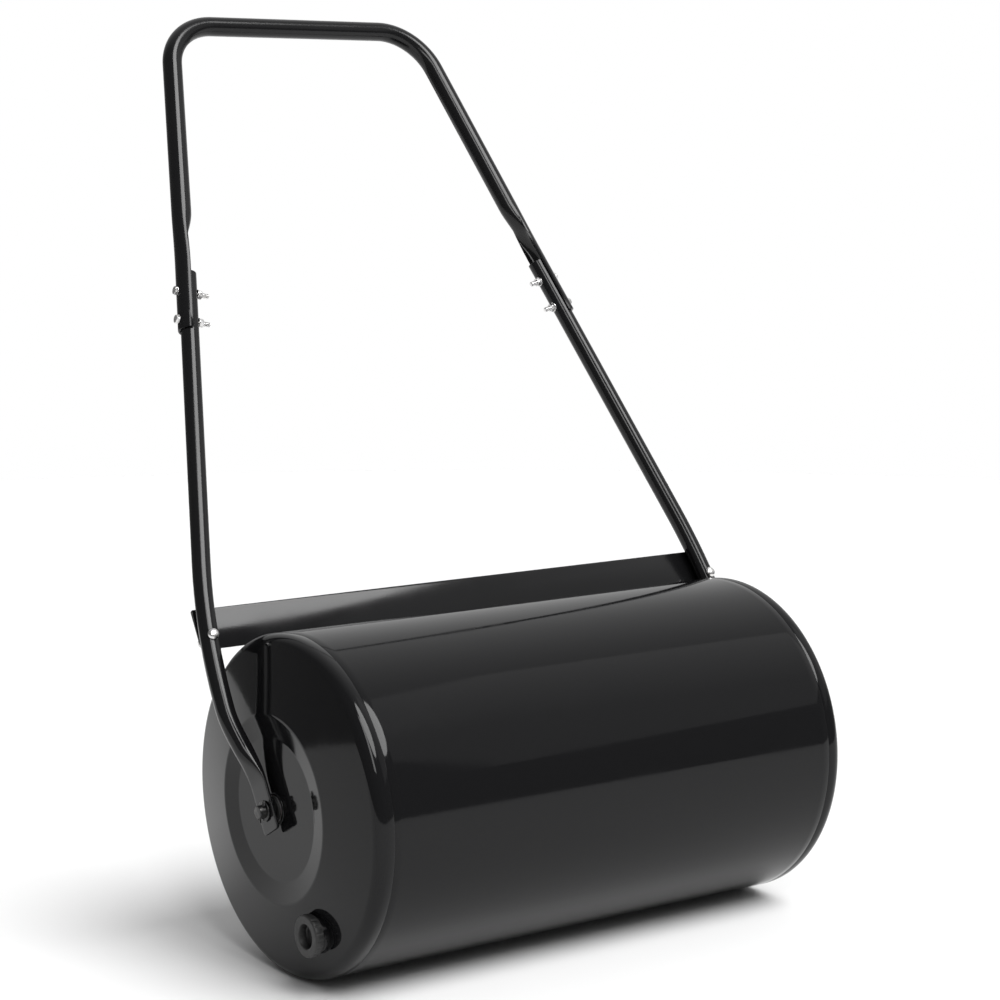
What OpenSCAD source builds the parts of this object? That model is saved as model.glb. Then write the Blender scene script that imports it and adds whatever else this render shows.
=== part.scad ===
// Push-pull lawn roller: a sealed, water-fillable steel drum on a through axle,
// a scraper crossbar and a U-shaped tubular handle bolted together from three tubes.
// Millimetres. +X along the axle, +Y back (the way the handle leans), +Z up.
// Origin: middle of the line where the drum touches the ground, right under the axle.

/* [Drum] */
// Outer radius of the drum
drum_r = 160; // [150:1:180]
// Half of the drum's length between the tops of its rounded rims
drum_half = 273.6; // [240:0.1:320]
// Radius of the rounded rim
rim_r = 12; // [10:0.5:16]
// Sheet thickness of shell and end caps
sheet = 1; // [0.8:0.1:1.5]
// How far the dished end bulges past the rim
dish_out = 11.5; // [10:0.1:12]
// Radius at which the dished end stands out furthest
dish_r = 87.5; // [80:0.5:92]
// Radius of the sunk centre disc
disc_r = 67; // [58:1:72]
// Depth of the sunk centre disc
disc_drop = 3.5; // [3:0.5:6]
// Length of the end cap's skirt that slides into line with the shell
cap_skirt = 6; // [4:1:12]

/* [Axle] */
// Radius of the axle rod
axle_r = 6; // [5:0.5:7]
// Radial running clearance round the axle
axle_gap = 0.06; // [0.03:0.01:0.09]
// Outer radius of the tube welded through the drum
core_r = 13; // [12.5:0.5:15]
// Bore radius of that tube
core_bore_r = 11; // [10:0.5:11.5]

/* [Handle] */
// Lean of the handle from the vertical, in degrees
handle_lean = 29.8; // [20:0.1:40]
// Distance from the axle to the middle of the grip bar
handle_len = 835; // [780:1:900]
// Outer radius of the upper tube
upper_r = 10; // [9:0.5:11]
// Wall thickness of both tubes
tube_wall = 1.2; // [1:0.1:1.6]
// Half distance between the side tubes, measured at the height of the grip bar
grip_half = 151.7; // [130:0.1:180]
// Splay of the upper side tubes, in degrees
upper_splay = 12.8; // [11:0.1:13.3]
// Centre-line radius of the grip's two bends
grip_bend = 60; // [45:1:75]
// Distance from the axle where the upper tube starts to be pressed flat
press_top = 606; // [596:1:620]
// Distance from the axle where the pressed cup begins
press_end = 558; // [555:1:566]
// Distance from the axle where the cup ends
cup_end = 485; // [475:1:488]
// Thickness of the pressed, double-walled cup
cup_t = 2.6; // [2.4:0.1:3.4]

/* [Lower tubes] */
// Outer radius of the lower tube
lower_r = 9; // [8:0.5:9.5]
// Distance from the axle to the lower tube's top end
lower_top = 548; // [536:1:552]
// Splay of the straight part of the lower tube, in degrees
lower_splay = 13.5; // [13.5:0.25:14.25]
// Centre-line radius of the long bend
lower_bend = 617; // [560:1:680]
// Distance from the axle where the long bend stands out furthest
bend_low = 100; // [95:1:110]
// Distance from the axle where the long bend ends and the tube starts to flatten
flat_start = 60; // [56:1:70]
// Distance from the axle where the tube is fully flattened
flat_end = 28; // [22:1:36]
// Width of the flattened end
plate_w = 27; // [24:1:30]
// Thickness of the flattened end
plate_t = 3; // [2.6:0.1:3.4]
// Length of the flattened end beyond the axle
plate_tail = 20; // [14:1:22]
// Distance from the drum's middle to the flattened end's inner face
plate_x = 289.5; // [289:0.5:292]

/* [Crossbar] */
// Clearance between the drum and the crossbar
bar_gap = 3; // [2:0.5:6]
// Height of the crossbar
bar_h = 40; // [30:1:45]
// Thickness of the crossbar
bar_t = 2.5; // [2:0.1:3]
// Half length of the crossbar
bar_half = 306; // [304:1:312]
// Distance from the axle to the crossbar's bolts
bar_bolt_s = 171; // [170:1:180]

/* [Fasteners] */
// Bolt shank radius
bolt_r = 2.5; // [2:0.5:2.5]
// Radius of the bolt holes
bolt_hole_r = 2.8; // [2.7:0.05:3]
// Distance from the axle to the upper joint bolts
joint_s1 = 527; // [522:1:530]
// Distance from the axle to the lower joint bolts
joint_s2 = 496; // [493:1:500]
// Width across the flats of heads and nuts
hex_af = 8; // [7:0.5:9]
// Thickness of nuts
nut_t = 4; // [3:0.1:5]
// Height of the bolt heads
head_h = 3.5; // [3:0.1:4]
// Thickness of the bolt washers
washer_t = 1; // [0.8:0.1:1.5]
// Radius of the bolt washers
washer_r = 5; // [4.8:0.1:6]

/* [Filling plug] */
// Distance from the axle to the plug's centre
plug_pos = 121.6; // [119:0.1:122]
// Angle of the plug from straight down, towards the front, in degrees
plug_angle = 33.5; // [0:0.5:60]
// Radius of the plug's knob
plug_r = 19.7; // [18:0.1:20]
// Distance from the drum's middle to the knob's outer face
plug_face = 292; // [291.5:0.1:292]
// Radius of the round socket in the knob
socket_r = 11.2; // [10:0.1:12]
// Radius of the plug's neck
neck_r = 13; // [12:0.5:14]

/* [Hidden] */
$fn = 96;
hull_fn = 32;
long_bend_fn = 360;
cut = 1;
axle_z = drum_r;
dish_x = drum_half + dish_out;
disc_x = dish_x - disc_drop;
rim_x = drum_half - rim_r;
seam_x = rim_x - cap_skirt;
joggle = sheet + 0.1;
lip_root = 2;
rim_steps = 8;
weld_gap = 0.05;
// overlap of neighbouring lengths of one tube, inside the wall
lap = 1;
lap_in = 0.3;
// slope of the dished end, from the rim's arc to the ring that stands out furthest
dish_slope = atan(dish_out / (drum_r - rim_r - dish_r));
// axle stack, from the middle outwards
core_x = disc_x + 2;
bush_flange_t = 2;
bush_x = core_x + bush_flange_t;
bush_len = 24;
inner_washer_x = plate_x - 2.4;
inner_washer_t = 1.9;
outer_washer_x = plate_x + plate_t + 0.4;
outer_washer_t = 1.5;
axle_washer_r = 9.5;
split_r = 1.4;
split_hole_r = 1.6;
split_x = outer_washer_x + outer_washer_t + split_hole_r + 0.2;
axle_x = split_x + 4.5;
split_turn = 25;
eye_r = 2.2;
eye_wire_r = 0.9;
split_out = axle_r + 1;
leg_r = 0.8;
leg_len = 6;
leg_turn = 38;
hub_plate_r = 42;
hub_plate_t = 2;
// handle geometry in its own leaning plane: x sideways, y behind the plane, z away from the axle
grip_side = grip_half + handle_len * tan(upper_splay);
function upper_w(s) = grip_side - s * tan(upper_splay);
bend_turn = 90 - upper_splay;
grip_straight = upper_w(handle_len) - grip_bend * tan(bend_turn / 2);
leg_top = handle_len - grip_bend * tan(bend_turn / 2) * cos(upper_splay);
flat_w = plate_x + plate_t / 2;
bend_w = 304.5;
ankle_turn = asin((bend_low - flat_start) / lower_bend);
ankle_w = bend_w - lower_bend * (1 - cos(ankle_turn));
bend_top_s = bend_low + lower_bend * sin(lower_splay);
bend_top_w = bend_w - lower_bend * (1 - cos(lower_splay));
function lower_w(s) = bend_top_w - (s - bend_top_s) * tan(lower_splay);
function arc_w(s) = bend_w - lower_bend + sqrt(pow(lower_bend, 2) - pow(s - bend_low, 2));
cup_in = lower_r + 0.1;
cup_out = cup_in + cup_t;
cup_half_angle = 80;
cup_mid = (cup_in + cup_out) / 2;
bar_n = lower_r + 0.2;
bar_s = sqrt(pow(drum_r + bar_gap, 2) - pow(bar_n, 2));
bar_chamfer = 6;
// axial positions on the joint bolts, measured from the lower tube's axis, outwards positive
head_seat = cup_out + 0.05;
nut_seat = -(lower_r + 0.05 + washer_t);
joint_tail = -(lower_r + washer_t + nut_t + 8);
// positions on the crossbar bolts, measured behind the handle plane
bar_back = bar_n + bar_t;
bar_nut_seat = bar_back + 0.05 + washer_t;
bar_tail = bar_nut_seat + nut_t + 3;
dome_r = 5.6;
dome_h = 4;
// filling plug, measured along the axle from the drum's middle, on the left end
boss_r = 17.5;
boss_len = 16;
boss_x = drum_half + dish_out * (drum_r - rim_r - plug_pos) / (drum_r - rim_r - dish_r) + 3.8;
gasket_t = 1.5;
gasket_gap = 0.3;
knob_x = boss_x + gasket_gap * 2 + gasket_t;
neck_gap = 0.08;
neck_len = 15;
socket_depth = 8.5;
grooves = 18;
groove_r = 1.1;

// ---------- placing ----------
module handle_plane() {
  translate([0, 0, axle_z]) rotate([-handle_lean, 0, 0]) children();
}
module both_sides() {
  children();
  mirror([1, 0, 0]) children();
}
// frame on the right lower tube's straight part: z up along the tube, x outwards
module on_lower(s) {
  translate([lower_w(s), 0, s]) rotate([0, -lower_splay, 0]) children();
}
module on_upper(s) {
  translate([upper_w(s), 0, s]) rotate([0, -upper_splay, 0]) children();
}
// x becomes the drum's axle direction for things drawn along z
module along_x() {
  translate([0, 0, axle_z]) rotate([0, 90, 0]) children();
}
module ring(r_out, r_in, z0, z1) {
  translate([0, 0, z0]) difference() {
    cylinder(r = r_out, h = z1 - z0);
    translate([0, 0, -cut]) cylinder(r = r_in, h = z1 - z0 + 2 * cut);
  }
}
module hexagon(h) {
  cylinder(r = hex_af / 2 / cos(30), h = h, $fn = 6);
}
// a nut whose corners are turned off at both faces
module hex_nut() {
  difference() {
    intersection() {
      hexagon(nut_t);
      union() {
        cylinder(r1 = hex_af / 2, r2 = hex_af / 2 + 0.9, h = 0.9);
        translate([0, 0, 0.9]) cylinder(r = hex_af / 2 + 0.9, h = nut_t - 1.8);
        translate([0, 0, nut_t - 0.9]) cylinder(r1 = hex_af / 2 + 0.9, r2 = hex_af / 2, h = 0.9);
      }
    }
    translate([0, 0, -cut]) cylinder(r = bolt_r + 0.05, h = nut_t + 2 * cut);
  }
}

// ---------- handle ----------
// one solid bar of radius r along the whole upper handle, down to the start of the pressing
module upper_path(r) {
  rotate([0, 90, 0]) translate([-handle_len, 0, -grip_straight]) cylinder(r = r, h = 2 * grip_straight);
  both_sides() {
    translate([grip_straight, 0, handle_len - grip_bend]) rotate([90, 0, 0])
      rotate([0, 0, 90 - bend_turn]) rotate_extrude(angle = bend_turn)
        translate([grip_bend, 0]) circle(r = r);
    on_upper(press_top) cylinder(r = r, h = (leg_top - press_top) / cos(upper_splay));
  }
}
// cross-section of the pressed cup: x outwards, open towards the lower tube
module cup_section() {
  difference() {
    circle(r = cup_out);
    circle(r = cup_in);
    for (m = [-1, 1])
      rotate(m * (90 + cup_half_angle)) translate([0, -2 * cup_out]) square(4 * cup_out);
  }
  for (m = [-1, 1]) rotate(m * cup_half_angle) translate([cup_mid, 0]) circle(r = cup_t / 2 - 0.02);
}
module upper_handle() {
  color([0.03, 0.03, 0.03]) handle_plane() {
    difference() {
      union() {
        upper_path(upper_r);
        both_sides() {
          on_upper(leg_top) cylinder(r = upper_r - lap_in, h = 2 * lap, center = true);
          translate([grip_straight, 0, handle_len]) rotate([0, 90, 0])
            cylinder(r = upper_r - lap_in, h = 2 * lap, center = true);
          hull() {
            on_upper(press_top) cylinder(r = upper_r - lap_in, h = 2 * lap, center = true, $fn = hull_fn);
            on_lower(press_end) intersection() {
              cylinder(r = cup_out - lap_in, h = 2 * lap, center = true, $fn = hull_fn);
              translate([cup_mid * cos(cup_half_angle), -cup_out, -lap]) cube([cup_out, 2 * cup_out, 2 * lap]);
            }
          }
          on_lower(cup_end) linear_extrude((press_end - cup_end) / cos(lower_splay)) cup_section();
        }
      }
      upper_path(upper_r - tube_wall);
      both_sides() for (s = [joint_s1, joint_s2])
        on_lower(s) rotate([0, 90, 0]) cylinder(r = bolt_hole_r, h = 2 * cup_out);
    }
  }
}
// pressed length between the round tube and the flat end
module flattening() {
  hull() {
    translate([ankle_w, 0, flat_start]) rotate([0, ankle_turn, 0])
      cylinder(r = lower_r - lap_in, h = 2 * lap, center = true, $fn = hull_fn);
    translate([plate_x + 0.1, -plate_w / 2 + lap_in, flat_end - lap]) cube([plate_t - 0.2, plate_w - 2 * lap_in, 0.5]);
  }
}
module long_bend(r) {
  translate([bend_w - lower_bend, 0, bend_low]) rotate([90, 0, 0]) rotate([0, 0, -ankle_turn])
    rotate_extrude(angle = ankle_turn + lower_splay, $fn = long_bend_fn) translate([lower_bend, 0]) circle(r = r, $fn = 48);
}
module lower_tube() {
  difference() {
    union() {
      on_lower(bend_top_s) cylinder(r = lower_r, h = (lower_top - bend_top_s) / cos(lower_splay));
      long_bend(lower_r);
      on_lower(bend_top_s) cylinder(r = lower_r - lap_in, h = 2 * lap, center = true);
      flattening();
      translate([plate_x, -plate_w / 2, -plate_tail]) cube([plate_t, plate_w, plate_tail + flat_end]);
    }
    on_lower(bend_top_s) cylinder(r = lower_r - tube_wall, h = (lower_top - bend_top_s) / cos(lower_splay) + cut);
    long_bend(lower_r - tube_wall);
    for (s = [joint_s1, joint_s2])
      on_lower(s) translate([-2 * lower_r, 0, 0]) rotate([0, 90, 0]) cylinder(r = bolt_hole_r, h = 4 * lower_r);
    translate([arc_w(bar_bolt_s), -2 * lower_r, bar_bolt_s]) rotate([-90, 0, 0])
      cylinder(r = bolt_hole_r, h = 4 * lower_r);
    translate([plate_x - cut, 0, 0]) rotate([0, 90, 0]) cylinder(r = axle_r + axle_gap, h = plate_t + 2 * cut);
  }
}
module lower_tube_left() {
  color([0.03, 0.03, 0.03]) handle_plane() mirror([1, 0, 0]) lower_tube();
}
module lower_tube_right() {
  color([0.03, 0.03, 0.03]) handle_plane() lower_tube();
}
module crossbar() {
  color([0.03, 0.03, 0.03]) handle_plane() difference() {
    translate([0, bar_n + bar_t, bar_s]) rotate([90, 0, 0]) linear_extrude(bar_t)
      polygon([[-bar_half + bar_chamfer, 0], [bar_half - bar_chamfer, 0], [bar_half, bar_chamfer],
        [bar_half, bar_h], [-bar_half, bar_h], [-bar_half, bar_chamfer]]);
    both_sides() translate([arc_w(bar_bolt_s), 0, bar_bolt_s]) rotate([-90, 0, 0])
      cylinder(r = bolt_hole_r, h = 3 * lower_r);
  }
}

// ---------- fasteners of the handle ----------
module at_joint_bolts() {
  handle_plane() both_sides() for (s = [joint_s1, joint_s2]) on_lower(s) rotate([0, 90, 0]) children();
}
module at_bar_bolts() {
  handle_plane() both_sides() translate([arc_w(bar_bolt_s), 0, bar_bolt_s]) rotate([-90, 0, 0]) children();
}
module joint_bolts() {
  color([0.75, 0.75, 0.77]) at_joint_bolts() {
    translate([0, 0, joint_tail]) cylinder(r = bolt_r, h = head_seat - joint_tail + 0.5);
    translate([0, 0, head_seat]) intersection() {
      hexagon(head_h);
      cylinder(r1 = hex_af / 2 + head_h, r2 = hex_af / 2 - 0.1, h = head_h);
    }
  }
}
module joint_washers() {
  color([0.75, 0.75, 0.77]) at_joint_bolts() ring(washer_r, bolt_r + 0.2, nut_seat, nut_seat + washer_t);
}
module joint_nuts() {
  color([0.75, 0.75, 0.77]) at_joint_bolts() translate([0, 0, nut_seat - 0.05 - nut_t]) hex_nut();
}
module crossbar_bolts() {
  color([0.75, 0.75, 0.77]) at_bar_bolts() {
    translate([0, 0, -lower_r - 0.5]) cylinder(r = bolt_r, h = bar_tail + lower_r + 0.5);
    translate([0, 0, -lower_r - 0.05 - dome_h]) rotate_extrude() intersection() {
      square([dome_r, dome_h]);
      translate([0, 6]) circle(r = 6);
    }
  }
}
module crossbar_washers() {
  color([0.75, 0.75, 0.77]) at_bar_bolts() ring(washer_r, bolt_r + 0.2, bar_back + 0.05, bar_back + 0.05 + washer_t);
}
module crossbar_nuts() {
  color([0.75, 0.75, 0.77]) at_bar_bolts() translate([0, 0, bar_nut_seat + 0.05]) hex_nut();
}

// ---------- axle ----------
module at_split_pins() {
  both_sides() translate([split_x, 0, axle_z]) rotate([split_turn, 0, 0]) children();
}
module axle() {
  color([0.1, 0.1, 0.1]) difference() {
    along_x() union() {
      translate([0, 0, -axle_x + 1]) cylinder(r = axle_r, h = 2 * axle_x - 2);
      translate([0, 0, axle_x - 1]) cylinder(r1 = axle_r, r2 = axle_r - 1, h = 1);
      translate([0, 0, -axle_x]) cylinder(r1 = axle_r - 1, r2 = axle_r, h = 1);
    }
    at_split_pins() translate([0, 0, -2 * axle_r]) cylinder(r = split_hole_r, h = 4 * axle_r);
  }
}
module axle_washers_outer() {
  color([0.1, 0.1, 0.1]) both_sides() along_x()
    ring(axle_washer_r, axle_r + 0.1, outer_washer_x, outer_washer_x + outer_washer_t);
}
module axle_washers_inner() {
  color([0.1, 0.1, 0.1]) both_sides() along_x()
    ring(axle_washer_r, axle_r + 0.1, inner_washer_x, inner_washer_x + inner_washer_t);
}
module split_pins() {
  color([0.1, 0.1, 0.1]) at_split_pins() {
    translate([0, 0, -split_out]) cylinder(r = split_r, h = 2 * split_out);
    translate([0, 0, split_out + eye_r]) rotate([0, 90, 0]) rotate_extrude()
      translate([eye_r, 0]) circle(r = eye_wire_r);
    for (m = [-1, 1]) translate([0, 0, -split_out + 0.6]) rotate([180 + m * leg_turn, 0, 0])
      cylinder(r = leg_r, h = leg_len);
  }
}

// ---------- drum ----------
module drum_shell() {
  color([0.03, 0.03, 0.03]) along_x() {
    ring(drum_r, drum_r - sheet, -seam_x + weld_gap, seam_x - weld_gap);
  }
}
// points of the dished end's face moved in by t, from the skirt to the sunk disc: radius, height
function dish_line(t) = concat(
  [for (k = [0:rim_steps]) let (a = k / rim_steps * (90 - dish_slope))
    [drum_r - rim_r + (rim_r - t) * cos(a), rim_x + (rim_r - t) * sin(a)]],
  [[dish_r, dish_x - t / cos(dish_slope)], [disc_r, disc_x - t], [core_r + weld_gap, disc_x - t]]);
function backwards(p) = [for (k = [len(p) - 1:-1:0]) p[k]];
// a dished end with a joggled lip that reaches under the shell
module end_cap() {
  lip = drum_r - joggle;
  rotate_extrude() polygon(concat([[drum_r, seam_x]], dish_line(0), backwards(dish_line(sheet)),
    [[drum_r - sheet, seam_x + lip_root], [lip - sheet, seam_x + lip_root],
      [lip - sheet, seam_x - 2 * cap_skirt], [lip, seam_x - 2 * cap_skirt], [lip, seam_x]]));
}
module end_cap_left() {
  color([0.03, 0.03, 0.03]) difference() {
    mirror([1, 0, 0]) along_x() end_cap();
    at_plug() cylinder(r = boss_r + weld_gap, h = 2 * boss_len, center = true);
  }
}
module end_cap_right() {
  color([0.03, 0.03, 0.03]) along_x() end_cap();
}
module core_tube() {
  color([0.2, 0.2, 0.2]) along_x() difference() {
    ring(core_r, core_bore_r, -core_x, core_x);
    for (m = [-1, 1]) translate([0, 0, m * core_x]) cylinder(r = core_bore_r + 0.3, h = 2, center = true);
  }
}
module bush() {
  ring(core_bore_r - 0.05, axle_r + axle_gap, core_x - bush_len, core_x + 0.2);
  ring(core_r - 0.5, axle_r + axle_gap, core_x + 0.1, bush_x);
}
module bush_left() {
  color([0.85, 0.85, 0.82]) mirror([1, 0, 0]) along_x() bush();
}
module bush_right() {
  color([0.85, 0.85, 0.82]) along_x() bush();
}
// stiffening rings behind the sunk discs
module hub_plates() {
  color([0.25, 0.25, 0.25]) both_sides() along_x()
    ring(hub_plate_r, core_r + weld_gap, disc_x - sheet - 0.05 - hub_plate_t, disc_x - sheet - 0.05);
}

// ---------- filling plug ----------
// frame on the plug's axis at the boss's face: z outwards through the left end
module at_plug() {
  translate([-boss_x, -plug_pos * sin(plug_angle), axle_z - plug_pos * cos(plug_angle)])
    rotate([0, -90, 0]) children();
}
module fill_boss() {
  color([0.03, 0.03, 0.03]) at_plug() ring(boss_r, neck_r + neck_gap, -boss_len, 0);
}
module plug_gasket() {
  color([0.08, 0.08, 0.08]) at_plug() ring(plug_r - 1.5, neck_r + 0.1, gasket_gap, gasket_gap + gasket_t);
}
module fill_plug() {
  color([0.05, 0.05, 0.05]) at_plug() difference() {
    union() {
      translate([0, 0, -neck_len]) cylinder(r = neck_r, h = neck_len + knob_x - boss_x + 1);
      translate([0, 0, knob_x - boss_x]) cylinder(r = plug_r, h = plug_face - knob_x - 1);
      translate([0, 0, plug_face - boss_x - 1]) cylinder(r1 = plug_r, r2 = plug_r - 1, h = 1);
    }
    translate([0, 0, plug_face - boss_x - socket_depth]) cylinder(r = socket_r, h = socket_depth + cut);
    translate([0, 0, -neck_len - cut]) cylinder(r = neck_r - 2.5, h = neck_len);
    for (k = [0:grooves - 1]) rotate(k * 360 / grooves)
      translate([plug_r + 0.3, 0, knob_x - boss_x - cut]) cylinder(r = groove_r, h = plug_face, $fn = 24);
  }
}

upper_handle();
lower_tube_left();
lower_tube_right();
crossbar();
joint_bolts();
joint_washers();
joint_nuts();
crossbar_bolts();
crossbar_washers();
crossbar_nuts();
axle();
axle_washers_outer();
axle_washers_inner();
split_pins();
drum_shell();
end_cap_left();
end_cap_right();
core_tube();
bush_left();
bush_right();
hub_plates();
fill_boss();
fill_plug();
plug_gasket();
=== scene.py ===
import math

import bmesh
import bpy
import numpy as np
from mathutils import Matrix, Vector


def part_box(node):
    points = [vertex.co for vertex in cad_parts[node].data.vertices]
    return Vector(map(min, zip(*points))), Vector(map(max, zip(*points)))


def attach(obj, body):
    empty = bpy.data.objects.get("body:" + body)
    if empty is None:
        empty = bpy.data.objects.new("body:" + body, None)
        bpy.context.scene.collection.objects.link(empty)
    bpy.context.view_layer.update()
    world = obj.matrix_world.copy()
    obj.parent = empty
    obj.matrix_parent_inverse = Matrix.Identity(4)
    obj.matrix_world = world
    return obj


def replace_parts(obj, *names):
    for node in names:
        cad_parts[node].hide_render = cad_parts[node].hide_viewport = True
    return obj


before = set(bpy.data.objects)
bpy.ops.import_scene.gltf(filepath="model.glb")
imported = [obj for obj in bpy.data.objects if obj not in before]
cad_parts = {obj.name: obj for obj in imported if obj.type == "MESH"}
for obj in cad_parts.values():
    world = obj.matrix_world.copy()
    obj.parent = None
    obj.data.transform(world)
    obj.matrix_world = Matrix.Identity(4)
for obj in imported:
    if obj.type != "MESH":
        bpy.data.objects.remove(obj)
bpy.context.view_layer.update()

MM = 0.001

# ---------- sizes, in millimetres, all measured from the axle's middle ----------
axle_low, axle_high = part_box("axle")
AXLE = (axle_low + axle_high) / 2
AXLE_HALF = (axle_high.x - axle_low.x) / 2 / MM
AXLE_R = (axle_high.z - axle_low.z) / 2 / MM
DRUM_R = AXLE.z / MM
DISH_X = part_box("end_cap_right")[1].x / MM
SEAM_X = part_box("drum_shell")[1].x / MM + 0.05
DRUM_HALF, RIM_R, DISH_R, DISC_R, DISC_DROP = 273.6, 12.0, 87.5, 67.0, 3.5
DISC_X = DISH_X - DISC_DROP
CORE_R = 13.0

LEAN = math.radians(29.8)
GRIP_S, GRIP_HALF, GRIP_BEND, GRIP_R = 835.0, 151.7, 60.0, 10.0
UPPER_SPLAY = math.radians(12.8)
LOWER_SPLAY = math.radians(13.5)
PRESS_TOP, PRESS_END, CUP_END, CUP_T = 618.0, 554.0, 485.0, 2.6
LOWER_R, LOWER_TOP, BEND_W, BEND_R, BEND_S = 9.0, 548.0, 304.5, 617.0, 100.0
PLATE_T, PLATE_W, PLATE_TAIL = 3.0, 27.0, 20.0
PLATE_X = 291.0
CUP_IN = LOWER_R + 0.1
CUP_OUT = CUP_IN + CUP_T
JOINT_S = (527.0, 496.0)
BAR_BOLT_S, BAR_GAP, BAR_H, BAR_T, BAR_HALF, BAR_CHAMFER = 171.0, 3.0, 40.0, 2.5, 306.0, 6.0
BAR_N = LOWER_R + 0.2
BAR_S = math.sqrt((DRUM_R + BAR_GAP) ** 2 - BAR_N ** 2)
BOLT_R, HEX_AF, NUT_T, HEAD_H, WASHER_T, WASHER_R = 2.5, 8.0, 4.0, 3.5, 1.0, 5.0
DOME_R, DOME_H = 5.6, 4.0

FLAT_TOP, FLAT_LOW = 62.0, 24.0
ARC_TOP = BEND_S + BEND_R * math.sin(LOWER_SPLAY)
ARC_TOP_W = BEND_W - BEND_R * (1 - math.cos(LOWER_SPLAY))


def upper_w(s):
    return GRIP_HALF + (GRIP_S - s) * math.tan(UPPER_SPLAY)


def smooth(t):
    t = min(max(t, 0.0), 1.0)
    return t * t * (3 - 2 * t)


def lower_w(s):
    """Sideways place of the lower tube's centre line at distance s from the axle."""
    if s >= ARC_TOP:
        return ARC_TOP_W - (s - ARC_TOP) * math.tan(LOWER_SPLAY)
    if s >= BEND_S:
        return BEND_W - BEND_R + math.sqrt(BEND_R ** 2 - (s - BEND_S) ** 2)
    return PLATE_X + (BEND_W - PLATE_X) * smooth((s - FLAT_LOW) / (BEND_S - FLAT_LOW))


def in_plane(w, n, s):
    """Handle plane (sideways, behind, up the handle) to the row frame, in metres."""
    return Vector((w * MM, (n * math.cos(LEAN) + s * math.sin(LEAN)) * MM,
                   AXLE.z + (s * math.cos(LEAN) - n * math.sin(LEAN)) * MM))


# ---------- materials ----------
def new_material(name):
    mat = bpy.data.materials.new(name)
    mat.use_nodes = True
    nodes, links = mat.node_tree.nodes, mat.node_tree.links
    shader = nodes["Principled BSDF"]
    coord = nodes.new("ShaderNodeTexCoord")
    return mat, nodes, links, shader, coord.outputs["Object"]


def noise(nodes, links, coord, scale, detail=4.0, rough=0.55, stretch=None):
    if stretch:
        mapping = nodes.new("ShaderNodeMapping")
        mapping.inputs["Scale"].default_value = stretch
        links.new(coord, mapping.inputs["Vector"])
        coord = mapping.outputs["Vector"]
    tex = nodes.new("ShaderNodeTexNoise")
    tex.inputs["Scale"].default_value = scale
    tex.inputs["Detail"].default_value = detail
    tex.inputs["Roughness"].default_value = rough
    links.new(coord, tex.inputs["Vector"])
    return tex.outputs["Fac"]


def remap(nodes, links, value, low, high, to_low, to_high):
    node = nodes.new("ShaderNodeMapRange")
    node.inputs["From Min"].default_value = low
    node.inputs["From Max"].default_value = high
    node.inputs["To Min"].default_value = to_low
    node.inputs["To Max"].default_value = to_high
    links.new(value, node.inputs["Value"])
    return node.outputs["Result"]


def mix_colour(nodes, links, factor, dark, light):
    node = nodes.new("ShaderNodeMix")
    node.data_type = "RGBA"
    node.inputs[6].default_value = (*dark, 1)
    node.inputs[7].default_value = (*light, 1)
    links.new(factor, node.inputs[0])
    return node.outputs[2]


def bumps(nodes, links, shader, layers):
    """layers: (height value, distance in metres, strength), chained one on the other."""
    normal = None
    for value, distance, strength in layers:
        bump = nodes.new("ShaderNodeBump")
        bump.inputs["Distance"].default_value = distance
        bump.inputs["Strength"].default_value = strength
        links.new(value, bump.inputs["Height"])
        if normal:
            links.new(normal, bump.inputs["Normal"])
        normal = bump.outputs["Normal"]
    links.new(normal, shader.inputs["Normal"])


def black_paint(name, rough_low, rough_high, peel, peel_scale, ior, dust):
    """Black powder coat: orange peel, slow waviness of the sheet, rubbed patches and settled dust."""
    mat, nodes, links, shader, coord = new_material(name)
    shader.inputs["IOR"].default_value = ior
    patches = noise(nodes, links, coord, 9.0, 5.0, 0.6)
    links.new(remap(nodes, links, patches, 0.35, 0.7, rough_low, rough_high), shader.inputs["Roughness"])
    specks = noise(nodes, links, coord, 900.0, 2.0, 0.5)
    speck_mask = remap(nodes, links, specks, 0.70, 0.80, 0.0, 1.0)
    cloud = noise(nodes, links, coord, 6.0, 6.0, 0.65)
    cloud_mask = remap(nodes, links, cloud, 0.45, 0.85, 0.0, 1.0)
    both = nodes.new("ShaderNodeMath")
    both.operation = "MULTIPLY"
    links.new(speck_mask, both.inputs[0])
    links.new(cloud_mask, both.inputs[1])
    dusty = nodes.new("ShaderNodeMath")
    dusty.operation = "MULTIPLY"
    dusty.inputs[1].default_value = dust
    links.new(both.outputs[0], dusty.inputs[0])
    links.new(mix_colour(nodes, links, dusty.outputs[0], (0.006, 0.006, 0.0065), (0.09, 0.085, 0.08)),
              shader.inputs["Base Color"])
    bumps(nodes, links, shader, [
        (noise(nodes, links, coord, peel_scale, 2.0, 0.4), peel, 0.5),
        (noise(nodes, links, coord, 7.0, 1.0, 0.3), peel * 6, 0.25),
    ])
    return mat


def zinc_plate(name, base, tint, rough_low, rough_high, streak):
    mat, nodes, links, shader, coord = new_material(name)
    shader.inputs["Metallic"].default_value = 1.0
    tone = noise(nodes, links, coord, 260.0, 4.0, 0.6)
    links.new(mix_colour(nodes, links, remap(nodes, links, tone, 0.35, 0.7, 0.0, 1.0), base, tint),
              shader.inputs["Base Color"])
    rub = noise(nodes, links, coord, 500.0, 3.0, 0.6)
    links.new(remap(nodes, links, rub, 0.3, 0.7, rough_low, rough_high), shader.inputs["Roughness"])
    bumps(nodes, links, shader, [(noise(nodes, links, coord, 900.0, 3.0, 0.6, streak), 0.00006, 0.35)])
    return mat


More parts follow.
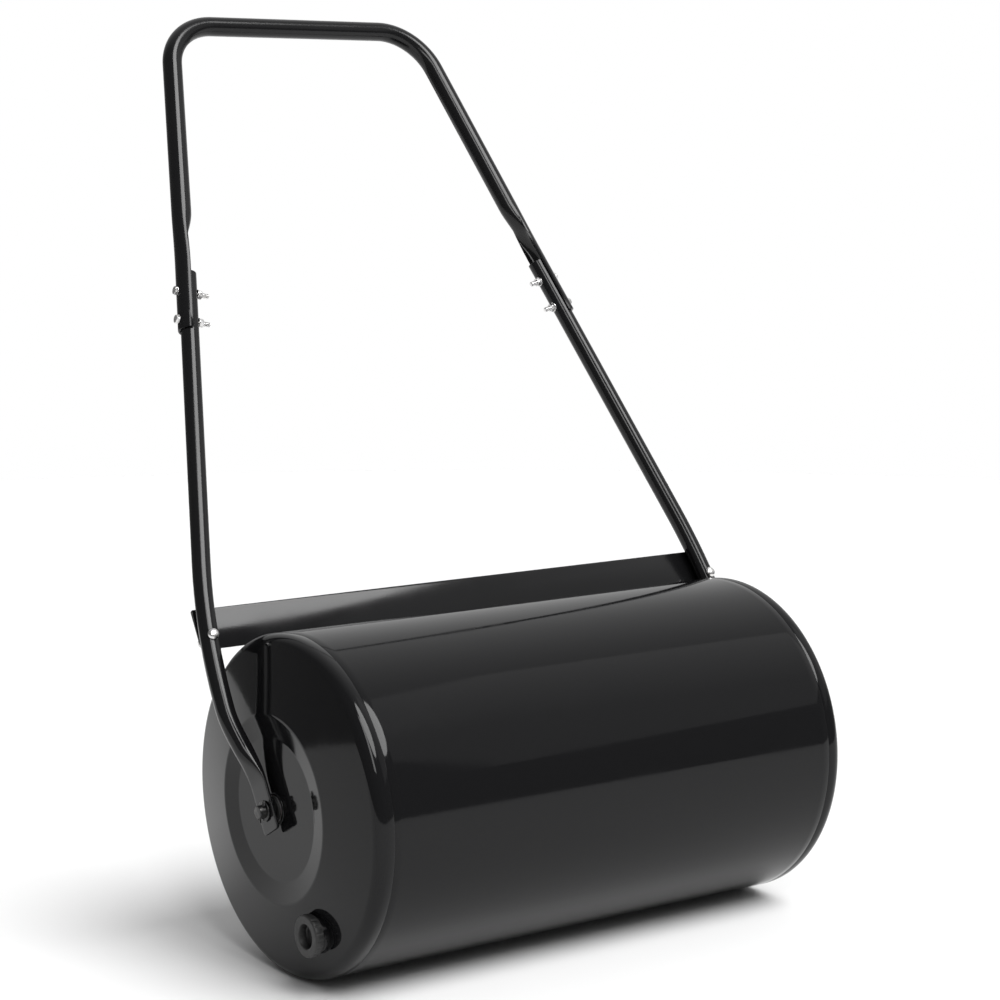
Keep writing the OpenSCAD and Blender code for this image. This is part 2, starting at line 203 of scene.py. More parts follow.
def moulded(name, colour, pale, rough_low, rough_high, grain_scale, grain):
    """Plastic or rubber with a fine moulded grain and slightly rubbed patches."""
    mat, nodes, links, shader, coord = new_material(name)
    rub = noise(nodes, links, coord, 60.0, 4.0, 0.6)
    links.new(remap(nodes, links, rub, 0.3, 0.7, rough_low, rough_high), shader.inputs["Roughness"])
    links.new(mix_colour(nodes, links, remap(nodes, links, rub, 0.45, 0.8, 0.0, 1.0), colour, pale),
              shader.inputs["Base Color"])
    bumps(nodes, links, shader, [(noise(nodes, links, coord, grain_scale, 3.0, 0.6), grain, 0.4)])
    return mat


DRUM_PAINT = black_paint("drum_paint", 0.05, 0.11, 0.00003, 160.0, 1.3, 0.5)
TUBE_PAINT = black_paint("handle_paint", 0.10, 0.2, 0.00003, 420.0, 1.37, 0.4)
ZINC = zinc_plate("zinc", (0.78, 0.77, 0.75), (0.62, 0.62, 0.64), 0.16, 0.34, (1, 1, 1))
AXLE_STEEL = zinc_plate("axle_steel", (0.05, 0.05, 0.052), (0.1, 0.098, 0.095), 0.25, 0.45, (0.2, 2, 2))
PLUG_PLASTIC = moulded("plug_plastic", (0.012, 0.012, 0.012), (0.03, 0.03, 0.03), 0.42, 0.6, 1500.0, 0.00005)
RUBBER = moulded("gasket_rubber", (0.015, 0.015, 0.015), (0.04, 0.038, 0.036), 0.6, 0.8, 1200.0, 0.00006)
NYLON = moulded("bush_plastic", (0.015, 0.015, 0.015), (0.04, 0.04, 0.04), 0.35, 0.5, 900.0, 0.00004)
INNER_STEEL = zinc_plate("inner_steel", (0.3, 0.3, 0.31), (0.16, 0.12, 0.1), 0.4, 0.6, (1, 1, 1))


# ---------- mesh building ----------
SHARP = math.radians(38)


def piece(name, verts, faces, material, slot_name, body):
    """A mesh piece in the row frame: smooth where its faces meet gently, sharp elsewhere."""
    mesh = bpy.data.meshes.new(name)
    bm = bmesh.new()
    made = [bm.verts.new(v) for v in verts]
    for f in faces:
        bm.faces.new([made[i] for i in f])
    bmesh.ops.remove_doubles(bm, verts=bm.verts, dist=1e-7)
    bmesh.ops.recalc_face_normals(bm, faces=bm.faces)
    for f in bm.faces:
        f.smooth = True
    for e in bm.edges:
        e.smooth = e.calc_face_angle(0.0) < SHARP
    bm.to_mesh(mesh)
    bm.free()
    obj = bpy.data.objects.new(name, mesh)
    bpy.context.scene.collection.objects.link(obj)
    mesh.materials.append(material)
    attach(obj, body)
    return obj


def grid(loops, closed_ends=True):
    """Faces between loops of equal length, each closed on itself."""
    count = len(loops[0])
    verts = [v for loop in loops for v in loop]
    faces = []
    for k in range(len(loops) - 1):
        for i in range(count):
            j = (i + 1) % count
            faces.append((k * count + i, k * count + j, (k + 1) * count + j, (k + 1) * count + i))
    if closed_ends:
        faces.append(tuple(range(count - 1, -1, -1)))
        faces.append(tuple(range((len(loops) - 1) * count, len(loops) * count)))
    return verts, faces


def join(parts):
    """Several (verts, faces) as one."""
    verts, faces = [], []
    for v, f in parts:
        base = len(verts)
        verts += list(v)
        faces += [tuple(base + i for i in face) for face in f]
    return verts, faces


def circle(r, count):
    turns = [2 * math.pi * i / count for i in range(count)]
    return [(r * math.cos(t), r * math.sin(t)) for t in turns]


def lathe(profile, place, turns=96, ring=True):
    """profile: (axial, radius) points; place maps (axial, a, b) in mm to the row frame."""
    loops = []
    for axial, radius in profile:
        loops.append([place(axial, radius * math.cos(2 * math.pi * i / turns),
                            radius * math.sin(2 * math.pi * i / turns)) for i in range(turns)])
    if ring:
        loops.append(loops[0])
    return grid(loops, closed_ends=not ring)


def rounded(points, radii, steps=6):
    """An open outline with each inner corner k rounded by radii[k]."""
    out = [points[0]]
    for k in range(1, len(points) - 1):
        a, b, c = (np.array(p, float) for p in points[k - 1:k + 2])
        r = radii[k]
        if r <= 0:
            out.append(tuple(b))
            continue
        u, v = (a - b) / np.linalg.norm(a - b), (c - b) / np.linalg.norm(c - b)
        half = math.acos(max(-1, min(1, float(u @ v)))) / 2
        reach = min(r / math.tan(half), 0.49 * np.linalg.norm(a - b), 0.49 * np.linalg.norm(c - b))
        r = reach * math.tan(half)
        centre = b + (u + v) / np.linalg.norm(u + v) * (r / math.sin(half))
        p, q = b + u * reach, b + v * reach
        ang_p = math.atan2(*(p - centre)[::-1])
        ang_q = math.atan2(*(q - centre)[::-1])
        turn = (ang_q - ang_p + math.pi) % (2 * math.pi) - math.pi
        for i in range(steps + 1):
            t = ang_p + turn * i / steps
            out.append((centre[0] + r * math.cos(t), centre[1] + r * math.sin(t)))
    out.append(points[-1])
    return out


def ring_outline(r_in, r_out, x0, x1, edge=0.25):
    """Closed outline of a flat ring with eased edges, as (axial, radius)."""
    corners = [(x0, r_in), (x0, r_out), (x1, r_out), (x1, r_in)]
    mid = (x0, (r_in + r_out) / 2)
    path = [mid, corners[1], corners[2], corners[3], corners[0], mid]
    return rounded(path, [0, edge, edge, edge, edge, 0], 3)[:-1]


def on_axle(side):
    return lambda x, a, b: Vector((side * x * MM, a * MM, AXLE.z + b * MM))


# ---------- drum ----------
dish_slope = math.atan2(DISH_X - DRUM_HALF, DRUM_R - RIM_R - DISH_R)
WALL = 1.0
DRUM_TURNS = 256


def cap_outline():
    """Outer face of a dished end from the seam to the core tube, then back inside, as (axial, radius)."""
    rim_x = DRUM_HALF - RIM_R
    face = [(SEAM_X + 0.05, DRUM_R - 0.9), (SEAM_X + 0.05, DRUM_R - 0.2), (SEAM_X + 0.5, DRUM_R)]
    steps = 14
    for k in range(steps + 1):
        a = (math.pi / 2 - dish_slope) * k / steps
        face.append((rim_x + RIM_R * math.sin(a), DRUM_R - RIM_R + RIM_R * math.cos(a)))
    sunk = rounded([face[-1], (DISH_X, DISH_R), (DISC_X, DISC_R), (DISC_X, CORE_R + 0.05)], [0, 9, 12, 0], 8)
    inner = [(DISC_X - WALL, CORE_R + 0.05), (DISC_X - WALL, DISC_R), (DISH_X - WALL - 0.3, DISH_R),
             (DRUM_HALF - WALL, DRUM_R - RIM_R), (SEAM_X + 0.05, DRUM_R - WALL - 1)]
    return face + sunk[1:] + inner


def drum_pieces():
    for side, name in ((-1, "left"), (1, "right")):
        verts, faces = lathe(cap_outline(), on_axle(side), DRUM_TURNS)
        skin = piece(f"end_cap_{name}_skin", verts, faces, DRUM_PAINT, "drum_paint", "drum")
        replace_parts(skin, f"end_cap_{name}")
    edge = [(-SEAM_X + 0.05, DRUM_R - 0.2), (-SEAM_X + 0.5, DRUM_R)]
    outline = edge + [(x, DRUM_R) for x in np.linspace(-SEAM_X + 8, SEAM_X - 8, 9)]
    outline += [(-x, r) for x, r in reversed(edge)]
    outline += [(SEAM_X - 0.05, DRUM_R - 2), (-SEAM_X + 0.05, DRUM_R - 2)]
    verts, faces = lathe(outline, on_axle(1), DRUM_TURNS)
    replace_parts(piece("drum_shell_skin", verts, faces, DRUM_PAINT, "drum_paint", "drum"), "drum_shell")
    for side, name in ((-1, "left"), (1, "right")):
        bead = [(DISC_X + 1.3 * math.cos(t), CORE_R + 1.0 + 1.3 * math.sin(t))
                for t in np.linspace(0, 2 * math.pi, 13)[:-1]]
        verts, faces = lathe(bead, on_axle(side), 96)
        piece(f"core_weld_{name}", verts, faces, DRUM_PAINT, "drum_paint", "drum")


# ---------- swept tubes ----------
AROUND = 64


def loop_at(w, s, psi, section):
    """A section square to a path whose direction in the plane makes psi with the sideways axis."""
    nw, ns = -math.sin(psi), math.cos(psi)
    return [in_plane(w + x * nw, y, s + x * ns) for x, y in section]


def circle_section(r):
    return circle(r, AROUND)


CUP_ANGLE = math.radians(80)


def cup_section():
    """A circle's points pressed into a double-walled trough, matched point to point with the circle."""
    mid = (CUP_IN + CUP_OUT) / 2
    lip = CUP_T / 2
    out = []
    for i in range(AROUND):
        t = (2 * math.pi * i / AROUND + math.pi) % (2 * math.pi) - math.pi
        front, lip_span = math.radians(84), math.radians(12)
        if abs(t) <= front:
            a = t / front * CUP_ANGLE
            out.append((CUP_OUT * math.cos(a), CUP_OUT * math.sin(a)))
        elif abs(t) >= front + lip_span:
            a = math.copysign((math.pi - abs(t)) / (math.pi - front - lip_span) * CUP_ANGLE, t)
            out.append((CUP_IN * math.cos(a), CUP_IN * math.sin(a)))
        else:
            u = (abs(t) - front) / lip_span * math.pi
            x, y = lip * math.cos(u), lip * math.sin(u)
            a = CUP_ANGLE
            px, py = (mid + x) * math.cos(a) - y * math.sin(a), (mid + x) * math.sin(a) + y * math.cos(a)
            out.append((px, math.copysign(py, t)))
    return out


def upper_handle_mesh():
    round_sec, cup_sec = circle_section(GRIP_R), cup_section()
    right = []  # from the grip's middle down the right leg
    bend_turn = math.pi / 2 - UPPER_SPLAY
    straight = upper_w(GRIP_S) - GRIP_BEND * math.tan(bend_turn / 2)
    for w in np.linspace(0, straight, 8)[1:-1]:
        right.append((w, GRIP_S, 0.0, round_sec))
    for k in range(25):
        a = bend_turn * k / 24
        s = GRIP_S - GRIP_BEND * (1 - math.cos(a))
        right.append((straight + GRIP_BEND * math.sin(a), s, -a, round_sec))
    leg_top = right[-1][1]
    for s in np.linspace(leg_top, PRESS_TOP, 8)[1:]:
        right.append((upper_w(s), s, -bend_turn, round_sec))
    low_psi = -(math.pi / 2 - LOWER_SPLAY)
    for s in np.linspace(PRESS_TOP, PRESS_END, 15)[1:]:
        t = smooth((PRESS_TOP - s) / (PRESS_TOP - PRESS_END))
        sec = [(a[0] * (1 - t) + b[0] * t, a[1] * (1 - t) + b[1] * t) for a, b in zip(round_sec, cup_sec)]
        right.append((upper_w(s) * (1 - t) + lower_w(s) * t, s, -bend_turn * (1 - t) + low_psi * t, sec))
    for s in (PRESS_END - 10, CUP_END + 20, CUP_END + 0.8):
        right.append((lower_w(s), s, low_psi, cup_sec))
    mid_r = (CUP_IN + CUP_OUT) / 2
    eased = []
    for x, y in cup_sec:
        r, a = math.hypot(x, y), math.atan2(y, x)
        r = mid_r + (r - mid_r) * 0.6
        eased.append((r * math.cos(a), r * math.sin(a)))
    right.append((lower_w(CUP_END), CUP_END, low_psi, eased))
    left = [(-w, s, -psi, sec) for w, s, psi, sec in reversed(right)]
    return grid([loop_at(*st) for st in left + right])


def plate_section(half_t, half_w, power):
    out = []
    for i in range(AROUND):
        t = 2 * math.pi * i / AROUND
        c, s = math.cos(t), math.sin(t)
        out.append((math.copysign(half_t * abs(c) ** power, c), math.copysign(half_w * abs(s) ** power, s)))
    return out


def lower_tube_mesh(side):
    """From the open top end down to the flattened, squared end."""
    stations = []
    wall = 1.2
    top_psi = -(math.pi / 2 - LOWER_SPLAY)
    bore = circle_section(LOWER_R - wall)

    def psi_at(s):
        d = 0.5
        return math.atan2(-2 * d, lower_w(s - d) - lower_w(s + d))

    rows = [(LOWER_TOP - 25, bore), (LOWER_TOP - 0.3, bore),
            (LOWER_TOP, circle_section(LOWER_R - wall + 0.3)),
            (LOWER_TOP, circle_section(LOWER_R - 0.3)), (LOWER_TOP - 0.3, circle_section(LOWER_R))]
    for s, sec in rows:
        stations.append((lower_w(s), s, top_psi, sec))
    for s in list(np.linspace(LOWER_TOP - 15, ARC_TOP, 8)) + list(np.linspace(ARC_TOP, BEND_S, 20))[1:]:
        stations.append((lower_w(s), s, psi_at(s), circle_section(LOWER_R)))
    for s in np.linspace(BEND_S, FLAT_LOW, 40)[1:]:
        t = smooth((FLAT_TOP - s) / (FLAT_TOP - FLAT_LOW))
        half_t = LOWER_R + (PLATE_T / 2 - LOWER_R) * t
        half_w = LOWER_R + (PLATE_W / 2 - LOWER_R) * t
        stations.append((lower_w(s), s, psi_at(s), plate_section(half_t, half_w, 1 - 0.78 * t)))
    flat = plate_section(PLATE_T / 2, PLATE_W / 2, 0.22)
    corner = 3.0
    for s in np.linspace(FLAT_LOW, -PLATE_TAIL + corner, 5)[1:]:
        stations.append((PLATE_X, s, -math.pi / 2, flat))
    for a in (20, 40, 60, 75, 88):
        r = math.radians(a)
        sec = plate_section(PLATE_T / 2, PLATE_W / 2 - corner * (1 - math.cos(r)), 0.22)
        stations.append((PLATE_X, -PLATE_TAIL + corner * (1 - math.sin(r)), -math.pi / 2, sec))
    loops = [loop_at(*st) for st in stations]
    if side < 0:
        loops = [[Vector((-v.x, v.y, v.z)) for v in loop] for loop in loops]
    return grid(loops)


def drill(obj, centre, axis, radius, length):
    """Cuts a round hole through a piece."""
    bpy.ops.mesh.primitive_cylinder_add(vertices=48, radius=radius, depth=length, location=centre)
    tool = bpy.context.object
    tool.rotation_mode = "QUATERNION"
    tool.rotation_quaternion = Vector(axis).to_track_quat("Z", "Y")
    cut = obj.modifiers.new("hole", "BOOLEAN")
    cut.operation, cut.solver, cut.object = "DIFFERENCE", "EXACT", tool
    bpy.context.view_layer.update()
    depsgraph = bpy.context.evaluated_depsgraph_get()
    cut_mesh = bpy.data.meshes.new_from_object(obj.evaluated_get(depsgraph))
    obj.modifiers.clear()
    obj.data = cut_mesh
    bpy.data.objects.remove(tool)


def handle_pieces():
    verts, faces = upper_handle_mesh()
    upper = piece("upper_handle_tube", verts, faces, TUBE_PAINT, "handle_paint", "handle")
    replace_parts(upper, "upper_handle")
    for side, name in ((-1, "left"), (1, "right")):
        verts, faces = lower_tube_mesh(side)
        tube = piece(f"lower_tube_{name}_shape", verts, faces, TUBE_PAINT, "handle_paint", "handle")
        drill(tube, Vector((side * PLATE_X * MM, AXLE.y, AXLE.z)), (1, 0, 0), (AXLE_R + 0.06) * MM, 20 * MM)
        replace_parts(tube, f"lower_tube_{name}")
    crossbar_piece()


def crossbar_piece():
    """Flat strip with eased edges and clipped lower corners."""
    outline = [(-BAR_HALF + BAR_CHAMFER, 0), (BAR_HALF - BAR_CHAMFER, 0), (BAR_HALF, BAR_CHAMFER),
               (BAR_HALF, BAR_H), (-BAR_HALF, BAR_H), (-BAR_HALF, BAR_CHAMFER)]
    path = rounded([(0, 0)] + outline[1:] + outline[:1] + [(0, 0)], [0, 3, 3, 2, 2, 3, 3, 0], 4)[:-1]
    centre_s = BAR_H / 2
    ease = 0.35
    loops = []
    back = BAR_N + BAR_T
    for n, inset in ((BAR_N, ease), (BAR_N + ease * 0.3, ease * 0.3), (BAR_N + ease, 0),
                     (back - ease, 0), (back - ease * 0.3, ease * 0.3), (back, ease)):
        loop = []
        for w, s in path:
            ws = w - math.copysign(inset, w) if abs(w) > BAR_HALF - BAR_CHAMFER - 1 else w
            ss = s + inset * (1 if s < centre_s else -1)
            loop.append(in_plane(ws, n, BAR_S + ss))
        loops.append(loop)
    verts, faces = grid(loops)
    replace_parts(piece("crossbar_strip", verts, faces, TUBE_PAINT, "handle_paint", "handle"), "crossbar")


# ---------- fasteners ----------
def bolt_place(origin, axis, up):
    """(axial, a, b) in mm about a bolt's own axis, to the row frame."""
    axis, up = axis.normalized(), up.normalized()
    third = axis.cross(up)
    return lambda z, a, b: origin + axis * (z * MM) + up * (a * MM) + third * (b * MM)


def thread(place, z0, z1, r, pitch=0.8, around=28, per_pitch=8):
    """A bolt's threaded length: a helical ridge on a closed rod, with a small lead-in at z0."""
    rows = int(abs(z1 - z0) / pitch * per_pitch)
    depth = 0.32 * pitch
    loops = [[place(z0, a, b) for a, b in circle(r - 0.9, around)]]
    for k in range(rows + 1):
        z = z0 + 0.3 + (z1 - z0 - 0.3) * k / rows
        loop = []
        for i in range(around):
            t = i / around
            phase = (z / pitch - t) % 1.0
            ridge = abs(phase - 0.5) * 2
            rr = r - depth * ridge
            rr = min(rr, r - 0.9 + (z - z0) * 1.2)
            loop.append(place(z, rr * math.cos(2 * math.pi * t), rr * math.sin(2 * math.pi * t)))
        loops.append(loop)
    return grid(loops)


def hex_prism(place, z0, z1, af, hole=0.0, around=72):
    """Hexagon with its corners turned off at the outer face (z1), or at both faces when it is a nut."""
    def edge(t):
        t = (t + math.pi / 6) % (math.pi / 3) - math.pi / 6
        return af / 2 / math.cos(t)
    corner = af / 2 / math.cos(math.pi / 6)
    loops = []
    nut = hole > 0
    rise = 0.75
    rows = []
    span = z1 - z0
    turns = [2 * math.pi * i / around for i in range(around)]
    steps = 5
    for k in range(steps + 1):
        f = k / steps
        rows.append((z1 - rise * f * span / abs(span), af / 2 - 0.15 + (corner - af / 2 + 0.15) * f))
    if nut:
        for k in range(steps + 1):
            f = (steps - k) / steps
            rows.append((z0 + rise * f * span / abs(span), af / 2 - 0.15 + (corner - af / 2 + 0.15) * f))
    else:
        rows.append((z0, corner))
    for z, limit in rows:
        reach = [min(edge(t), limit) for t in turns]
        loops.append([place(z, d * math.cos(t), d * math.sin(t)) for d, t in zip(reach, turns)])
    if not nut:
        return grid(loops)
    chamfer = 0.5 * span / abs(span)
    inner = [[place(z, a, b) for a, b in circle(r, around)]
             for z, r in ((z0, hole + 0.5), (z0 + chamfer, hole), (z1 - chamfer, hole), (z1, hole + 0.5))]
    return grid(loops + inner + [loops[0]], closed_ends=False)


def dome(place, z0, height, r, around=48):
    """Round bolt head: flat underside at z0, domed towards z0 - height."""
    profile = [(z0, 0.01), (z0, r - 0.3), (z0 - 0.3, r)]
    for k in range(1, 11):
        a = math.pi / 2 * k / 10
        profile.append((z0 - 0.5 - (height - 0.5) * math.sin(a), max(r * math.cos(a) ** 0.8, 0.01)))
    return lathe(profile, place, around, ring=True)


def cylinder(place, z0, z1, r, around=40):
    loops = [[place(z, r * math.cos(2 * math.pi * i / around), r * math.sin(2 * math.pi * i / around))
              for i in range(around)] for z in (z0, z1)]
    return grid(loops)


def joint_places():
    """The four joint bolts: origin on the lower tube's axis, z outwards."""
    for side in (-1, 1):
        for s in JOINT_S:
            origin = in_plane(side * lower_w(s), 0, s)
            axis = in_plane(side * math.cos(LOWER_SPLAY), 0, math.sin(LOWER_SPLAY)) - in_plane(0, 0, 0)
            turn = math.radians(17 * side + 31 * (s == JOINT_S[0]))
            up = in_plane(0, math.cos(turn), math.sin(turn)) - in_plane(0, 0, 0)
            up = up - axis.normalized() * up.dot(axis.normalized())
            yield bolt_place(origin, axis, up)


def bar_places():
    for side in (-1, 1):
        origin = in_plane(side * lower_w(BAR_BOLT_S), 0, BAR_BOLT_S)
        axis = in_plane(0, 1, 0) - in_plane(0, 0, 0)
        yield bolt_place(origin, axis, Vector((1, 0, 0)))


def fastener_pieces():
    seat = CUP_OUT + 0.05
    nut_seat = -(LOWER_R + 0.05 + WASHER_T)
    tail = -(LOWER_R + WASHER_T + NUT_T + 8)
    washer_path = ring_outline(BOLT_R + 0.2, WASHER_R, nut_seat, nut_seat + WASHER_T, 0.2)
    bolts, washers, nuts = [], [], []
    for place in joint_places():
        bolts.append(thread(place, tail, nut_seat + 1, BOLT_R))
        bolts.append(cylinder(place, nut_seat + 1, seat + 0.5, BOLT_R - 0.02))
        bolts.append(hex_prism(place, seat, seat + HEAD_H, HEX_AF))
        bolts.append(lathe(ring_outline(BOLT_R, HEX_AF / 2 + 0.2, seat, seat + 0.5, 0.1), place, 64))
        washers.append(lathe(washer_path, place, 64))
        nuts.append(hex_prism(place, nut_seat - 0.05, nut_seat - 0.05 - NUT_T, HEX_AF, hole=BOLT_R + 0.03))
    for name, parts, node in (("joint_bolt_set", bolts, "joint_bolts"),
                              ("joint_washer_set", washers, "joint_washers"),
                              ("joint_nut_set", nuts, "joint_nuts")):
        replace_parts(piece(name, *join(parts), ZINC, "zinc", "handle"), node)
    back = BAR_N + BAR_T
    seat = back + 0.05 + WASHER_T
    bolts, washers, nuts = [], [], []
    for place in bar_places():
        flip = (lambda p: (lambda z, a, b: p(-z, a, b)))(place)
        bolts.append(thread(flip, -(seat + NUT_T + 3), -(seat - 1), BOLT_R))
        bolts.append(cylinder(place, -LOWER_R - 0.5, seat - 1, BOLT_R - 0.02))
        bolts.append(dome(place, -LOWER_R - 0.05, DOME_H, DOME_R))
        washers.append(lathe(ring_outline(BOLT_R + 0.2, WASHER_R, back + 0.05, seat, 0.2), place, 64))
        nuts.append(hex_prism(place, seat + 0.05, seat + 0.05 + NUT_T, HEX_AF, hole=BOLT_R + 0.03))
    for name, parts, node in (("bar_bolt_set", bolts, "crossbar_bolts"),
                              ("bar_washer_set", washers, "crossbar_washers"),
                              ("bar_nut_set", nuts, "crossbar_nuts")):
        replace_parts(piece(name, *join(parts), ZINC, "zinc", "handle"), node)


# ---------- axle ends ----------
def axle_pieces():
    for node, name, thick in (("axle_washers_inner", "inner_washer_set", 1.9),
                              ("axle_washers_outer", "outer_washer_set", 1.5)):
        low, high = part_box(node)
        x1 = high.x / MM
        r = (high.z - low.z) / 2 / MM
        washer = ring_outline(AXLE_R + 0.1, r, x1 - thick, x1, 0.3)
        parts = [lathe(washer, on_axle(side), 80) for side in (-1, 1)]
        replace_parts(piece(name, *join(parts), AXLE_STEEL, "axle_steel", "axle"), node)
    rod = rounded([(-AXLE_HALF, 0.01), (-AXLE_HALF, AXLE_R), (AXLE_HALF, AXLE_R), (AXLE_HALF, 0.01)],
                  [0, 1.0, 1.0, 0], 4)
    verts, faces = lathe(rod, on_axle(1), 64, ring=True)
    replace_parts(piece("axle_rod", verts, faces, AXLE_STEEL, "axle_steel", "axle"), "axle")
    pins = []
    for side in (-1, 1):
        pins += split_pin(side, AXLE_HALF - 4.5)
    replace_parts(piece("split_pin_set", *join(pins), AXLE_STEEL, "axle_steel", "axle"), "split_pins")


def wire(points, section):
    """Sweeps a section along a path: each point carries its side direction, the section is (side, up)."""
    loops = []
    for k, (p, side_dir) in enumerate(points):
        before = points[max(k - 1, 0)][0]
        after = points[min(k + 1, len(points) - 1)][0]
        along = (after - before).normalized()
        up = along.cross(side_dir).normalized()
        loops.append([p + side_dir * (a * MM) + up * (b * MM) for a, b in section])
    return grid(loops)


def split_pin(side, x):
    """Two half-round legs through the axle, an eye at one end, the legs bent apart at the other."""
    turn = math.radians(25)
    centre = Vector((side * x * MM, 0, AXLE.z))
    down = Vector((0, math.sin(turn), -math.cos(turn)))
    across = Vector((0, math.cos(turn), math.sin(turn)))
    out = Vector((1, 0, 0))
    parts = []
    for m in (-1, 1):
        path = []
        for k in range(17):
            a = math.pi * k / 16
            above = AXLE_R + 1.2 + 2.4 + 2.0 * math.cos(a)
            path.append(centre - down * (above * MM) + across * (m * 2.0 * math.sin(a) * MM))
        for d in np.linspace(-AXLE_R - 0.4, AXLE_R + 0.4, 6):
            path.append(centre + down * (d * MM) + across * (m * 0.1 * MM))
        bend = math.radians(42)
        for k in range(1, 8):
            a = bend * k / 7
            below = AXLE_R + 0.4 + 3 * math.sin(a)
            apart = 0.1 + 3 * (1 - math.cos(a))
            path.append(centre + down * (below * MM) + across * (m * apart * MM))
        last = path[-1]
        run = down * math.cos(bend) + across * (m * math.sin(bend))
        for d in (1.4, 2.6, 3.2):
            path.append(last + run * (d * MM))
        section = [(0.8 * math.sin(t), 0.8 * math.cos(t)) for t in np.linspace(0, 2 * math.pi, 13)[:-1]]
        parts.append(wire([(p, out) for p in path], section))
    return parts


# ---------- filling plug ----------
def plug_pieces():
    low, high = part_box("fill_plug")
    centre = (low + high) / 2
    face = -low.x / MM
    knob_r = (high.z - low.z) / 2 / MM
    gasket_low, gasket_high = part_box("plug_gasket")
    boss_low, boss_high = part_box("fill_boss")
    knob_x = -gasket_low.x / MM + 0.3
    place = lambda x, a, b: Vector((-x * MM, centre.y + a * MM, centre.z + b * MM))
    ribs, around = 18, 216

    def flat_ring(bore, low, high):
        return ring_outline(bore, (high.z - low.z) / 2 / MM, -high.x / MM, -low.x / MM, 0.4)

    def knob_loop(x, r, groove):
        loop = []
        for i in range(around):
            t = 2 * math.pi * i / around
            d = abs((t * ribs / (2 * math.pi) + 0.5) % 1.0 - 0.5) * (2 * math.pi / ribs) * r
            rr = r - groove * max(0.0, 1 - (d / 1.3) ** 2)
            loop.append(place(x, rr * math.cos(t), rr * math.sin(t)))
        return loop

    neck, socket, depth = 13.0, 11.2, 8.5
    rows = [(knob_x, neck, 0), (knob_x, knob_r - 0.6, 0), (knob_x + 0.2, knob_r - 0.15, 0.2),
            (knob_x + 0.8, knob_r, 0.6),
            (face - 2.2, knob_r, 0.6), (face - 1.2, knob_r - 0.15, 0.4), (face - 0.5, knob_r - 0.6, 0.1),
            (face - 0.1, knob_r - 1.3, 0), (face, knob_r - 2.0, 0), (face, socket + 1.0, 0),
            (face - 0.2, socket + 0.4, 0),
            (face - 0.8, socket, 0), (face - depth + 0.8, socket - 0.3, 0), (face - depth, socket - 1.1, 0),
            (face - depth, 3.4, 0), (face - depth + 0.5, 2.8, 0), (face - depth + 0.6, 0.01, 0),
            (face - depth - 2, 0.01, 0), (face - depth - 2, neck - 2.5, 0), (-high.x / MM, neck - 2.5, 0),
            (-high.x / MM, neck, 0)]
    loops = [knob_loop(*row) for row in rows]
    loops.append(loops[0])
    knob = grid(loops, closed_ends=False)
    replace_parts(piece("fill_plug_knob", *knob, PLUG_PLASTIC, "plug_plastic", "fill_plug"), "fill_plug")
    gasket = lathe(flat_ring(13.1, gasket_low, gasket_high), place, 96)
    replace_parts(piece("fill_plug_gasket", *gasket, RUBBER, "gasket_rubber", "fill_plug"), "plug_gasket")
    boss = lathe(flat_ring(13.08, boss_low, boss_high), place, 96)
    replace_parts(piece("fill_boss_ring", *boss, DRUM_PAINT, "drum_paint", "drum"), "fill_boss")


drum_pieces()
handle_pieces()
fastener_pieces()
axle_pieces()
plug_pieces()
for node, material in (("core_tube", INNER_STEEL), ("hub_plates", INNER_STEEL),
                       ("bush_left", NYLON), ("bush_right", NYLON)):
    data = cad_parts[node].data
    data.materials.clear()
    data.materials.append(material)


# ---------- studio ----------
def floor_material():
    mat, nodes, links, shader, coord = new_material("studio_floor")
    shader.inputs["Specular IOR Level"].default_value = 0.1
    tone = noise(nodes, links, coord, 1.5, 3.0, 0.5)
    colour = mix_colour(nodes, links, tone, (0.86, 0.86, 0.86), (0.9, 0.9, 0.9))
    links.new(colour, shader.inputs["Base Color"])
    links.new(remap(nodes, links, tone, 0, 1, 0.75, 0.9), shader.inputs["Roughness"])
    return mat


def soft_light(name, where, aim, size, radiance):
    """A rectangular softbox of even brightness."""
    light = bpy.data.lights.new(name, "AREA")
    light.shape = "RECTANGLE"
    light.size, light.size_y = size
    light.energy = radiance * math.pi * size[0] * size[1]
    lamp = bpy.data.objects.new(name, light)
    lamp.location = where
    lamp.rotation_euler = (Vector(aim) - Vector(where)).to_track_quat("-Z", "Y").to_euler()
    bpy.context.scene.collection.objects.link(lamp)


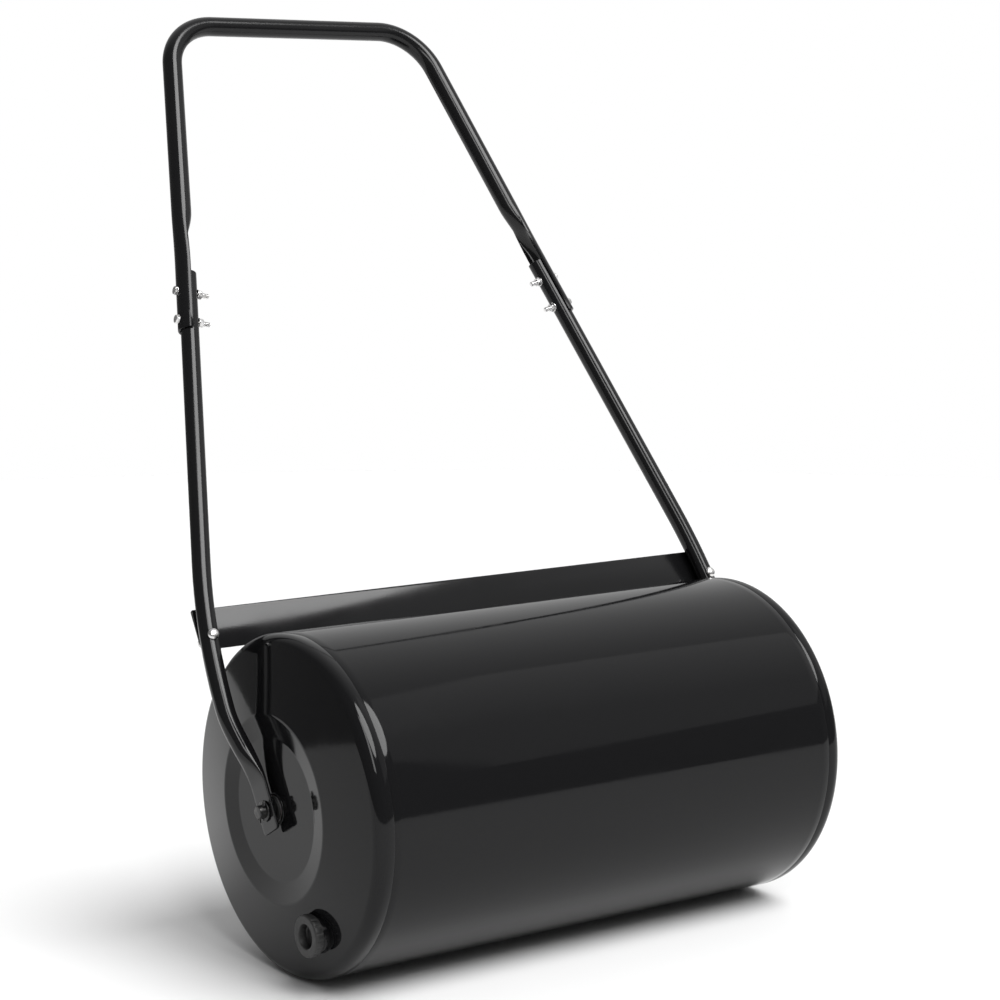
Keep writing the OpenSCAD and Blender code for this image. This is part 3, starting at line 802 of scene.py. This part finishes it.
def studio_world():
    """White all round to the eye; as a light it is white high up at the back right and dim elsewhere."""
    world = bpy.data.worlds.new("studio")
    bpy.context.scene.world = world
    world.use_nodes = True
    nodes, links = world.node_tree.nodes, world.node_tree.links
    seen = nodes["Background"]
    seen.inputs["Color"].default_value = (1, 1, 1, 1)
    seen.inputs["Strength"].default_value = WHITE
    room = nodes.new("ShaderNodeBackground")
    coord = nodes.new("ShaderNodeTexCoord")
    facing = nodes.new("ShaderNodeVectorMath")
    facing.operation = "DOT_PRODUCT"
    facing.inputs[1].default_value = BRIGHT_WAY
    links.new(coord.outputs["Generated"], facing.inputs[0])
    strength = remap(nodes, links, facing.outputs["Value"], 0.4, 0.9, ROOM_DIM, WHITE)
    links.new(strength, room.inputs["Strength"])
    path = nodes.new("ShaderNodeLightPath")
    mix = nodes.new("ShaderNodeMixShader")
    links.new(path.outputs["Is Camera Ray"], mix.inputs[0])
    links.new(room.outputs[0], mix.inputs[1])
    links.new(seen.outputs[0], mix.inputs[2])
    links.new(mix.outputs[0], nodes["World Output"].inputs["Surface"])


# the studio: strengths of the white and of the dim room, the way to its bright part, the floor in metres
WHITE, ROOM_DIM = 1.0, 0.22
BRIGHT_WAY = (0.5, 0.5, 0.6)
FLOOR_R, FLOOR_SIDES = 3.6, 96


def studio():
    mesh = bpy.data.meshes.new("floor")
    mesh.from_pydata([(x, y, 0) for x, y in circle(FLOOR_R, FLOOR_SIDES)], [], [range(FLOOR_SIDES)])
    floor = bpy.data.objects.new("floor", mesh)
    bpy.context.scene.collection.objects.link(floor)
    mesh.materials.append(floor_material())
    studio_world()
    sun = bpy.data.lights.new("ceiling", "SUN")
    sun.energy, sun.angle = 3.0, math.radians(36)
    lamp = bpy.data.objects.new("ceiling", sun)
    lamp.rotation_euler = Vector((-0.2, 0.55, -0.81)).to_track_quat("-Z", "Y").to_euler()
    bpy.context.scene.collection.objects.link(lamp)
    soft_light("panel", (2.7, -1.7, 3.4), (0, 0, 3.4), (3.0, 4.3), 0.4)
    soft_light("strip", (-1.11, -2.35, 2.9), (0, 0, 2.0), (0.7, 2.6), 6.5)
    bpy.context.scene.view_settings.view_transform = "Standard"


def camera():
    data = bpy.data.cameras.new("camera")
    data.lens, data.sensor_width = 92.38, 36.0
    data.dof.use_dof = False
    cam = bpy.data.objects.new("camera", data)
    cam.location = AXLE + Vector((-1.4470, -1.9770, 0.5996))
    cam.rotation_euler = (math.radians(90 - 7.826), 0, math.radians(-35.652))
    bpy.context.scene.collection.objects.link(cam)
    bpy.context.scene.camera = cam


studio()
camera()
bpy.context.view_layer.update()
